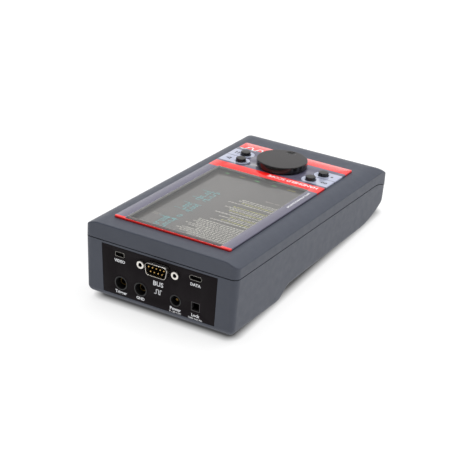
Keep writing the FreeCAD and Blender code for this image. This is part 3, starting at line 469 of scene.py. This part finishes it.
def display_look():
    """Dark display glass with a faintly uneven active area and a black border."""
    look = Look("display_glass", Coat_Weight=1.0, Coat_Roughness=0.03, Coat_IOR=1.5,
                Roughness=0.35)
    place = look.place()
    flat = look.vector("MULTIPLY", place, (1.0, 1.0, 0.0))
    active = rounded_mask(look, flat, 0.0, back(73.0), 33.4, 54.4, 0.3)
    brightness_scale = look.spread(look.noise(place, 30.0), 0.9, 1.1)
    lit = look.scale((0.020, 0.017, 0.015), brightness_scale)
    look.colour(look.mix(active, (0.006, 0.006, 0.006), lit))
    look.bump(look.noise(place, 12.0), 0.002)
    return look


def screen_ink(name, colour):
    """Lit marks on the display."""
    look = Look(name, Roughness=0.4, Emission_Strength=0.30)
    shade = look.scale(colour, look.spread(look.noise(look.place(), 1.6), 0.75, 1.1))
    look.colour(shade)
    look.feed(look.shader.inputs["Emission Color"], shade)
    return look


def knob_look():
    """Satin top, gloss side and a fine grain."""
    look = Look("knob_plastic", Specular_IOR_Level=0.5)
    place = look.place()
    height = look.node("SeparateXYZ", place).outputs[2]
    top = look.spread(height, 0.0, 1.0, 17.55, 17.75)
    fine = look.noise(place, 0.3, detail=3.0)
    tone = look.mix(top, (0.008, 0.007, 0.008), (0.026, 0.023, 0.024))
    look.colour(look.scale(tone, look.spread(look.noise(place, 6.0), 0.95, 1.05)))
    look.rough(look.math("ADD", look.math("MULTIPLY", top, 0.30), 0.14))
    look.bump(fine, 0.006)
    return look


# ---------------------------------------------------------------- front plate and display

print_look = plate_print_look()
pane_look = window_look()
glass_look = display_look()

WINDOW_HALF = 34.6
WINDOW_NEAR = 13.5
WINDOW_FAR = 126.2


def make_plate():
    """Printed plate with its window and holes."""
    outer = box_of(-42.0, 42.0, back(176.7), back(12.8), 1.2)
    opening = box_of(-WINDOW_HALF, WINDOW_HALF, back(WINDOW_FAR), back(WINDOW_NEAR), 0.5)
    holes = [ring_of(0, DIAL_Y, 7.5, 72)]
    holes += [ring_of(x, back(d), 3.8, 48) for x, d in KEYS.values()]
    bm = bmesh.new()
    slab(bm, outer, holes + [opening],
         [(0.0, PLATE_LOW), (0.0, PLATE_TOP - 0.28), (0.08, PLATE_TOP - 0.1), (0.28, PLATE_TOP)])
    finish_mesh("plate_frame", bm, print_look,
                replaces=("front_plate", "plate_print"))
    bm = bmesh.new()
    hair = 0.29
    pane = box_of(-WINDOW_HALF - hair, WINDOW_HALF + hair, back(WINDOW_FAR + hair),
                  back(WINDOW_NEAR - hair), 0.5)
    slab(bm, pane, [], [(0.0, PLATE_TOP - 0.25), (0.0, PLATE_TOP - 0.005)])
    finish_mesh("window_pane", bm, pane_look, smooth=False)


def make_window_wall():
    """Pale step and dark gasket round the display, under the pane."""
    grow = 0.02
    inner = box_of(-WINDOW_HALF + 0.3, WINDOW_HALF - 0.3, back(WINDOW_FAR - 0.3),
                   back(WINDOW_NEAR + 3.9), 0.4)
    outer = box_of(-WINDOW_HALF - grow, WINDOW_HALF + grow, back(WINDOW_FAR + grow),
                   back(WINDOW_NEAR + 3.6), 0.4)
    bm = bmesh.new()
    slab(bm, outer, [inner], [(0.0, 11.0), (0.0, PLATE_TOP - 0.26)])
    finish_mesh("window_step", bm, wall_look, smooth=False)
    bm = bmesh.new()
    slab(bm, box_of(-36.2, 36.2, back(126.4), back(17.0)),
         [box_of(-WINDOW_HALF + 0.5, WINDOW_HALF - 0.5, back(WINDOW_FAR - 0.5),
                 back(WINDOW_NEAR + 4.1), 0.4)], [(0.0, DISPLAY_TOP + 0.02), (0.0, 11.0)])
    finish_mesh("window_gasket", bm, black_look, smooth=False)


def make_display():
    bm = bmesh.new()
    slab(bm, box_of(-35.7, 35.7, back(125.9), back(17.5), 0.4), [],
         edged(DISPLAY_TOP - 1.5, DISPLAY_TOP, 0.12))
    finish_mesh("display_panel", bm, glass_look,
                replaces=("display_cell",))


def strokes(bm, points, width, z):
    """Chain of thin bars through points."""
    for (x0, y0), (x1, y1) in zip(points, points[1:]):
        start, end = Vector((x0, y0)), Vector((x1, y1))
        along = (end - start).normalized() * width / 2
        side = Vector((-along.y, along.x))
        corners = [start - along - side, end + along - side, end + along + side,
                   start - along + side]
        slab(bm, [tuple(corner) for corner in corners], [], [(0.0, z), (0.0, z + INK)])


def make_traces():
    """Stepped traces that run along the display, in four bursts."""
    draw = random.Random(11)
    bm = bmesh.new()
    low, high = 11.0, 20.0
    for first, last in ((20.0, 38.5), (41.0, 46.0), (51.5, 66.0), (72.0, 91.0)):
        count = max(3, int((last - first) / 1.5))
        for level, swing in ((low + 0.5, 2.2), (low + 5.2, 2.8)):
            points = []
            x = level
            if last - first < 8 and level > low + 1:
                continue
            for step in range(count):
                d = first + (last - first) * step / count
                points.append((x, back(d)))
                if draw.random() < 0.72:
                    x = level if x > level else level + swing
                points.append((x, back(d)))
            strokes(bm, points, 0.27, DISPLAY_TOP + 0.01)
    for d in (22.0, 36.5, 53.5, 64.5, 75.0, 88.0):
        strokes(bm, [(low - 1.2, back(d)), (high + 3.2, back(d - 0.4))], 0.22,
                DISPLAY_TOP + 0.01)
    finish_mesh("display_traces", bm, screen_ink("trace_cyan", (0.10, 0.52, 0.56)),
                smooth=False)


def make_readout():
    """Rows of generic codes, in groups, as a bus tester lists them."""
    draw = random.Random(5)
    white, yellow = [], []
    pitch = 2.35
    groups = ((21.0, 12, 16), (51.5, 6, 13), (67.0, 5, 14), (82.0, 4, 15))
    for first, count, width in groups:
        for row in range(count):
            length = width - draw.randrange(0, 6)
            codes = " ".join(f"{draw.randrange(256):02X}" for _ in range(length))
            marked = row in (1, 4) and first > 50
            (yellow if marked else white).append((first + row * pitch, codes))
    for rows, tag, look in ((white, "white", screen_ink("readout_white", (0.62, 0.62, 0.56))),
                            (yellow, "yellow", screen_ink("readout_yellow", (0.50, 0.52, 0.12)))):
        for number, (d, codes) in enumerate(rows):
            lettering(f"readout_{tag}_{number}", codes, 1.75, -32.4, back(d), DISPLAY_TOP + 0.02,
                      look, align="LEFT", bold=0.03)
    green = screen_ink("readout_green", (0.12, 0.50, 0.16))
    gold = screen_ink("readout_gold", (0.50, 0.46, 0.10))
    for number, (x, words, look) in enumerate((
            (-24.0, "CH1 2V", gold), (-10.5, "RUN", green), (2.5, "TRIG", green),
            (14.0, "1 ms", gold), (25.5, "OK", green))):
        lettering(f"status_{number}", words, 1.8, x, back(123.4), DISPLAY_TOP + 0.02, look,
                  bold=0.03)
    lettering("readout_side", "1.00 V\n0.50 ms", 1.7, 26.5, back(37.0), DISPLAY_TOP + 0.02,
              screen_ink("readout_dim", (0.30, 0.29, 0.26)), bold=0.02)
    lettering("readout_head", "ID   LEN   CODES", 1.7, -32.4, back(96.5), DISPLAY_TOP + 0.02,
              screen_ink("readout_head_ink", (0.32, 0.31, 0.27)), align="LEFT",
              bold=0.02)


def make_plate_marks():
    z = PLATE_TOP + 0.012
    lettering("plate_name", "HANDHELD SCOPE", 4.6, -38.8, back(131.9), z, white_look,
              align="LEFT", bold=0.10, spacing=0.93)
    lettering("plate_line", "DIGITAL STORAGE OSCILLOSCOPE", 1.95, -37.9, back(106.2), z,
              white_look, turn=math.pi / 2, bold=0.05)
    bm = bmesh.new()
    wave = [(39.5, 165.0), (36.8, 165.2), (35.0, 169.8), (32.4, 169.9), (31.0, 165.4),
            (28.4, 165.5), (27.0, 169.9), (24.6, 169.9), (23.4, 166.4)]
    strokes(bm, [(x, back(d)) for x, d in wave], 1.0, z)
    finish_mesh("plate_mark", bm, white_look, smooth=False)
    bm = bmesh.new()
    for x in (36.0, 38.0):
        strokes(bm, [(x, back(154.4)), (x, back(157.2))], 0.9, z)
    strokes(bm, [(35.4, back(142.0)), (35.4, back(144.8)), (38.2, back(143.4)),
                 (35.4, back(142.0))], 0.8, z)
    slab(bm, ring_of(-37.0, back(155.8), 0.95, 20), [], [(0.0, z), (0.0, z + 0.02)])
    for y, x in ((143.4, -36.2), (143.4, -38.4)):
        slab(bm, ring_of(x, back(y), 1.25, 20), [ring_of(x, back(y), 0.5, 16)],
             [(0.0, z), (0.0, z + 0.02)])
    finish_mesh("plate_glyphs", bm, dark_ink_look, smooth=False)


# ---------------------------------------------------------------- dial and keys


def make_dial():
    """Round dial with a chamfered rim and a finger dimple."""
    radius, top, low = 17.5, 17.9, DIAL_BOTTOM
    rows, segments = 64, 240
    chamfer = 0.75
    dish_y, dish_radius, dish_depth = -13.05, 7.4, 0.95
    bm = bmesh.new()
    profile = [(7.0, low + 2.6), (radius - 2.0, low + 2.6), (radius - 2.0, low),
               (radius - 0.35, low), (radius, low + 0.35), (radius, top - chamfer)]
    steps = 5
    for step in range(1, steps + 1):
        angle = math.pi / 2 * step / steps
        profile.append((radius - chamfer * (1 - math.cos(angle)),
                        top - chamfer * (1 - math.sin(angle))))
    flat = radius - chamfer
    crown = 0.13
    for row in range(1, rows + 1):
        reach = flat * (1 - row / rows)
        profile.append((reach, top + crown * (1 - (reach / flat) ** 2)))
    lathe(bm, [(r, z) for r, z in profile], 0.0, DIAL_Y, segments)
    centre = Vector((0.0, DIAL_Y + dish_y, top + dish_radius - dish_depth))
    for vert in bm.verts:
        aside = (vert.co.xy - centre.xy).length
        if vert.co.z < top - 0.05 or aside > dish_radius - 0.01:
            continue
        floor = centre.z - math.sqrt(dish_radius ** 2 - aside ** 2)
        soft = 0.12
        gap = vert.co.z - floor
        if gap > -soft:
            vert.co.z -= (gap + soft) ** 2 / (4 * soft) if gap < soft else gap
    for vert in bm.verts:
        vert.co.z = min(vert.co.z, top + crown)
    finish_mesh("dial_cap", bm, knob_look(), body="dial",
                replaces=("dial_knob",))


def make_keys():
    look = Look("key_plastic")
    place = look.place()
    height = look.node("SeparateXYZ", place).outputs[2]
    top = look.spread(height, 0.0, 1.0, 14.45, 14.7)
    look.colour(look.mix(top, (0.006, 0.006, 0.007), (0.026, 0.024, 0.025)))
    look.rough(look.math("ADD", look.math("MULTIPLY", top, 0.20), 0.16))
    look.bump(look.noise(place, 0.25, detail=2.0), 0.004)
    for name, (x, d) in KEYS.items():
        bm = bmesh.new()
        profile = [(0.0, 7.4), (4.5, 7.4), (4.5, 8.3), (3.5, 8.3), (3.5, 14.2)]
        profile += [(3.5 - 0.6 * (1 - math.cos(a)), 14.2 + 0.5 * math.sin(a))
                    for a in (0.4, 0.8, 1.2, math.pi / 2)]
        profile += [(2.9 * (1 - step / 6), 14.7 + 0.1 * (1 - (1 - step / 6) ** 2))
                    for step in range(1, 7)]
        lathe(bm, profile, x, back(d), 56)
        finish_mesh(f"{name}_cap", bm, look, body=name, replaces=(name,))


# ---------------------------------------------------------------- connector end

BUS_V, UPPER_V, LOWER_V = -8.2, -6.3, -25.8
NUT_U = 12.495
VIDEO_U, DATA_U = -28.4, 26.6
TRIGGER_U, GROUND_U, POWER_U, LOCK_U = -27.3, -12.8, 12.7, 27.0
SLOT_HALF = 3.1


def d_outline(width, height, slant, radius):
    half, top = width / 2, height / 2
    lower = half - slant
    corners = [(-lower, BUS_V - top), (lower, BUS_V - top), (half, BUS_V + top),
               (-half, BUS_V + top)]
    return rounded_of(corners, radius)


def make_panel():
    low, high, half = -34.6, -1.8, 41.8
    narrow = (high - low) * math.tan(PANEL_LEAN)
    outer = [(-half + narrow, low), (half - narrow, low), (half, high), (-half, high)]
    holes = [d_outline(17.7, 9.2, 1.5, 2.6)]
    holes += [ring_of(side * NUT_U, BUS_V, 2.8, 40) for side in (1, -1)]
    holes += [box_around(VIDEO_U, UPPER_V, 3.6, 1.85, 0.8),
              box_around(DATA_U, UPPER_V, 4.65, 1.85, 1.84)]
    holes += [ring_of(u, LOWER_V, 4.75, 56) for u in (TRIGGER_U, GROUND_U)]
    holes += [ring_of(POWER_U, LOWER_V, 4.0, 48),
              box_around(LOCK_U, LOWER_V, SLOT_HALF, SLOT_HALF, 0.25)]
    bm = bmesh.new()
    slab(bm, outer, holes, [(0.0, -2.0), (0.0, -0.12), (0.04, -0.04), (0.12, 0.0)])
    finish_mesh("panel_face", bm, panel_look, place=PANEL,
                replaces=("connector_panel",))


def make_panel_marks():
    z = 0.012
    labels = (("video", "VIDEO", VIDEO_U, -10.9, 2.7), ("bus", "BUS", 0.0, -18.4, 4.4),
              ("data", "DATA", DATA_U, -10.9, 2.7),
              ("trigger", "Trigger", TRIGGER_U, -32.3, 2.9),
              ("ground", "GND", GROUND_U, -32.2, 2.7), ("power", "Power", POWER_U, -31.7, 3.0),
              ("volts", "9 - 30 V DC", POWER_U, -33.9, 1.7),
              ("lock", "Lock", LOCK_U, -31.7, 2.9),
              ("cable", "Cable lock slot", LOCK_U, -33.9, 1.65))
    for name, words, u, v, size in labels:
        lettering(f"label_{name}", words, size, u, v, z, white_look, place=PANEL,
                  bold=0.09 if size > 2 else 0.035)
    bm = bmesh.new()
    low, high = -25.2, -22.2
    pulse = [(-2.6, low), (-1.3, low), (-1.3, high), (0.4, high), (0.4, low), (1.5, low),
             (1.5, high), (2.6, high)]
    strokes(bm, pulse, 0.42, z)
    finish_mesh("label_pulse", bm, white_look, place=PANEL, smooth=False)


def make_bus_connector():
    flange = -3.6
    bm = bmesh.new()
    outer, inner = d_outline(16.9, 8.4, 1.45, 2.4), d_outline(16.1, 7.6, 1.45, 2.0)
    slab(bm, outer, [inner], [(0.0, flange), (0.0, 2.9), (0.06, 3.1), (0.16, 3.2)])
    slab(bm, box_of(-15.4, 15.4, BUS_V - 6.2, BUS_V + 6.2, 1.0),
         [inner] + [ring_of(side * NUT_U, BUS_V, 1.7, 32) for side in (1, -1)],
         edged(flange, flange + 1.0, 0.2))
    finish_mesh("bus_collar", bm, nickel_look, place=PANEL,
                replaces=("bus_shell",))
    pins = [(2.77 * (place - 2), BUS_V + 1.42) for place in range(5)]
    pins += [(2.77 * (place - 1.5), BUS_V - 1.42) for place in range(4)]
    bm = bmesh.new()
    slab(bm, inset(inner, 0.03), [ring_of(u, v, 0.75, 20) for u, v in pins],
         [(0.0, flange), (0.0, -2.3), (0.15, -2.2)], cap_low=False)
    slab(bm, box_of(-8.9, 8.9, BUS_V - 5.0, BUS_V + 3.4, 1.0), [],
         edged(flange - 6.5, flange, 0.3))
    finish_mesh("bus_core", bm, black_and_painted_shade_look, place=PANEL,
                replaces=("bus_insulator",))
    bm = bmesh.new()
    for u, v in pins:
        # shafts take the darker gold, painted shade inside the collar; the tips stay bright gold
        lathe(bm, [(0.0, -12.0), (0.5, -12.0), (0.5, 1.75)], u, v, 20, material=1)
        lathe(bm, [(0.5, 1.75), (0.5, 2.1), (0.42, 2.35), (0.26, 2.54), (0.0, 2.6)], u, v, 20)
    bmesh.ops.remove_doubles(bm, verts=bm.verts, dist=0.001)
    finish_mesh("bus_contacts", bm, (gold_look, shaded_gold_look), place=PANEL,
                replaces=("bus_pins",))
    bm = bmesh.new()
    for side in (1, -1):
        thread = []
        for turn in range(12):
            top = 1.25 - turn * 0.48
            thread += [(1.28, top), (1.1, top - 0.24)]
        lathe(bm, [(0.0, -7.4), (1.6, -7.4), (1.6, -2.6), (2.65, -2.6), (2.65, 1.1),
                   (2.58, 1.32), (2.4, 1.46), (2.2, 1.5), (1.5, 1.5), (1.28, 1.3)],
              side * NUT_U, BUS_V, 48)
        # threaded bores in near-black: painted shade inside the nuts
        lathe(bm, [(1.28, 1.3)] + thread + [(1.1, -4.5), (0.0, -4.5)], side * NUT_U, BUS_V, 48,
              material=1)
    bmesh.ops.remove_doubles(bm, verts=bm.verts, dist=0.001)
    finish_mesh("bus_jack_nuts", bm, (nickel_look, black_and_painted_shade_look), place=PANEL,
                replaces=("bus_nuts",))


def make_small_sockets():
    for name, u, width, height, radius, teeth in (
            ("video", VIDEO_U, 6.8, 3.3, 0.7, 9), ("data", DATA_U, 8.94, 3.26, 1.6, 12)):
        outer = box_around(u, UPPER_V, width / 2, height / 2, radius)
        inner = inset(outer, 0.26)
        bm = bmesh.new()
        slab(bm, outer, [inner], [(0.0, -7.4), (0.0, 0.02), (0.05, 0.1)])
        slab(bm, outer, [], [(0.0, -8.2), (0.0, -7.4)])
        # collars in the darker nickel: painted shade in the socket openings
        finish_mesh(f"{name}_collar", bm, shaded_nickel_look, place=PANEL,
                    replaces=(f"{name}_shell",))
        bm = bmesh.new()
        reach = width / 2 - 1.1
        block(bm, u - reach, u + reach, UPPER_V - 0.35, UPPER_V + 0.35, -7.4, -0.8, 0.12)
        # contact teeth take the darker gold: painted shade inside the socket
        for tooth in range(teeth):
            centre = u - reach + 0.45 + (2 * reach - 0.9) * tooth / (teeth - 1)
            for sign in (1, -1):
                face = UPPER_V + sign * 0.35
                block(bm, centre - 0.12, centre + 0.12, min(face, face + sign * 0.06),
                      max(face, face + sign * 0.06), -7.2, -1.3, 0.02, material=1)
        finish_mesh(f"{name}_blade", bm, (black_and_painted_shade_look, shaded_gold_look), place=PANEL,
                    replaces=(f"{name}_tongue",))


def make_round_sockets():
    for name, u in (("trigger", TRIGGER_U), ("ground", GROUND_U)):
        bm = bmesh.new()
        lathe(bm, [(2.65, -19.9), (5.9, -19.9), (5.9, -2.1), (4.7, -2.05), (4.7, 0.05),
                   (4.62, 0.22), (4.45, 0.3), (4.1, 0.3), (3.95, 0.2), (3.9, 0.0),
                   (3.9, -18.4), (2.65, -18.4), (2.65, -19.9)], u, LOWER_V, 64)
        finish_mesh(f"{name}_ring", bm, black_look, place=PANEL,
                    replaces=(f"{name}_socket",))
    bm = bmesh.new()
    lathe(bm, [(0.0, -13.9), (4.4, -13.9), (4.4, -2.15), (3.95, -2.1), (3.95, 0.05),
               (3.88, 0.15), (3.7, 0.2), (3.4, 0.2), (3.25, 0.1), (3.2, -0.1), (3.2, -10.8),
               (0.0, -10.8)], POWER_U, LOWER_V, 56)
    finish_mesh("power_ring", bm, black_look, place=PANEL,
                replaces=("power_jack",))
    bm = bmesh.new()
    slot_outline = box_around(LOCK_U, LOWER_V, SLOT_HALF, SLOT_HALF, 0.25)
    rim = SLOT_HALF - 0.4
    housing = box_around(LOCK_U, LOWER_V, 4.6, 4.6, 0.6)
    # inner walls and floor of the slot in near-black: painted shade inside the lock slot
    slab(bm, housing, [slot_outline], [(0.0, -9.0), (0.0, -2.02)])
    slab(bm, housing, [], [(0.0, -10.4), (0.0, -9.0)])
    slab(bm, slot_outline, [box_around(LOCK_U, LOWER_V, rim, rim, 0.1)],
         [(0.0, -2.0), (0.0, -0.08)], material=1)
    finish_mesh("lock_liner", bm, (black_and_painted_shade_look, edge_look), place=PANEL,
                replaces=("lock_cup",))


# ---------------------------------------------------------------- kept CAD nodes

KEPT = {
    shell_look: ("upper_shell", "lower_shell"),
    # case seal: near-black as painted shade in the seam gap
    seam_shade_and_gasket_look: ("case_seal", "display_gasket"),
    aluminium_look: ("display_frame", "dial_plunger", "dial_shaft", "shield_can"),
    diffuser_look: ("display_backlight",),
    gloss_black_look: ("encoder_housing",),
    nickel_look: ("encoder_nut",),
    # contacts inside the jacks take the darker gold: painted shade
    shaded_gold_look: ("power_pin", "socket_contacts"),
    board_look: ("keypad_board", "main_board", "power_board"),
    black_look: ("key_switches", "board_chips", "power_parts", "beeper", "battery_tray",
                 "battery_plug", "plunger_right_near", "plunger_left_near",
                 "plunger_right_far", "plunger_left_far"),
    steel_look: ("board_screws", "case_screws", "thread_inserts"),
    film_look: ("display_ribbon",),
    cell_look: ("battery_cells",),
    rubber_look: ("front_feet", "rear_feet"),
    label_look: ("rating_label",),
}


def dress_kept_nodes():
    for look, names in KEPT.items():
        for name in names:
            mesh = frame["nodes"][name].data
            mesh.materials.clear()
            mesh.materials.append(look.material)


# ---------------------------------------------------------------- stage, light and camera


def make_stage():
    bm = bmesh.new()
    bmesh.ops.create_grid(bm, x_segments=8, y_segments=8, size=5.0)
    mesh = bpy.data.meshes.new("floor")
    bm.to_mesh(mesh)
    bm.free()
    floor = bpy.data.objects.new("floor", mesh)
    bpy.context.scene.collection.objects.link(floor)
    look = Look("floor_paper_painted_shadow", Roughness=0.9, Specular_IOR_Level=0.0, Emission_Strength=0.76,
                Emission_Color=(1.0, 1.0, 1.0, 1.0))
    look.colour(look.mix(look.noise(look.place(), 400.0), (0.31, 0.31, 0.31),
                         (0.33, 0.33, 0.33)))
    # painted shadow: the floor's glow drops almost to nothing under the case and fades out just
    # round it
    under = rounded_mask(look, look.place(), 0.0, -2.0, 51.5, 102.3, 7.0, soft=7.0)
    brightness_scale = look.spread(under, 0.735, 0.04, 0.0, 1.0)
    look.feed(look.shader.inputs["Emission Strength"], brightness_scale)
    mesh.materials.append(look.material)


def make_world():
    world = bpy.data.worlds.new("studio")
    bpy.context.scene.world = world
    world.use_nodes = True
    background = world.node_tree.nodes["Background"]
    background.inputs["Color"].default_value = (1.0, 1.0, 1.0, 1.0)
    background.inputs["Strength"].default_value = 0.42


def softbox(name, place, target, size, power):
    light = bpy.data.lights.new(name, "AREA")
    light.shape = "RECTANGLE"
    light.size, light.size_y = size
    light.energy = power
    lamp = bpy.data.objects.new(name, light)
    bpy.context.scene.collection.objects.link(lamp)
    lamp.location = place
    lamp.rotation_euler = (Vector(target) - Vector(place)).to_track_quat("-Z", "Y").to_euler()


def make_lights():
    softbox("key_light", (-0.75, -0.45, 1.1), (0, 0, 0.03), (1.1, 0.9), 6.0)
    softbox("back_wall", (1.2, -2.3, 0.9), (0, 0, 0.2), (6.0, 2.4), 23.0)
    softbox("top_light", (0.1, -0.2, 1.7), (0, 0, 0.03), (1.3, 1.3), 18.0)


CAMERA_ROWS = ((-0.859306, -0.508013, 0.059294), (-0.254876, 0.324819, -0.910786),
               (0.443431, -0.797756, -0.408600))
CAMERA_SHIFT = (-45.898, 13.957, 883.424)
SENSOR = 36.0
LENS = 112.164179


def make_camera():
    """Camera, given in the device frame: the rows are its right, down and forward axes."""
    right, down, forward = (Vector(row) for row in CAMERA_ROWS)
    turn = Matrix((right, -down, -forward)).transposed()
    rows = Matrix((right, down, forward))
    position = -(rows.transposed() @ Vector(CAMERA_SHIFT)) + Vector((0, HALF_LENGTH, 0))
    data = bpy.data.cameras.new("camera")
    data.sensor_width = SENSOR
    data.lens = LENS
    data.clip_start, data.clip_end = 0.05, 20.0
    camera = bpy.data.objects.new("camera", data)
    bpy.context.scene.collection.objects.link(camera)
    camera.matrix_world = DEVICE @ Matrix.Translation(position * MM) @ turn.to_4x4()
    bpy.context.scene.camera = camera


make_plate()
make_window_wall()
make_display()
make_traces()
make_readout()
make_plate_marks()
make_dial()
make_keys()
make_panel()
make_panel_marks()
make_bus_connector()
make_small_sockets()
make_round_sockets()
dress_kept_nodes()
make_stage()
make_world()
make_lights()
make_camera()
bpy.context.scene.view_settings.view_transform = "Standard"
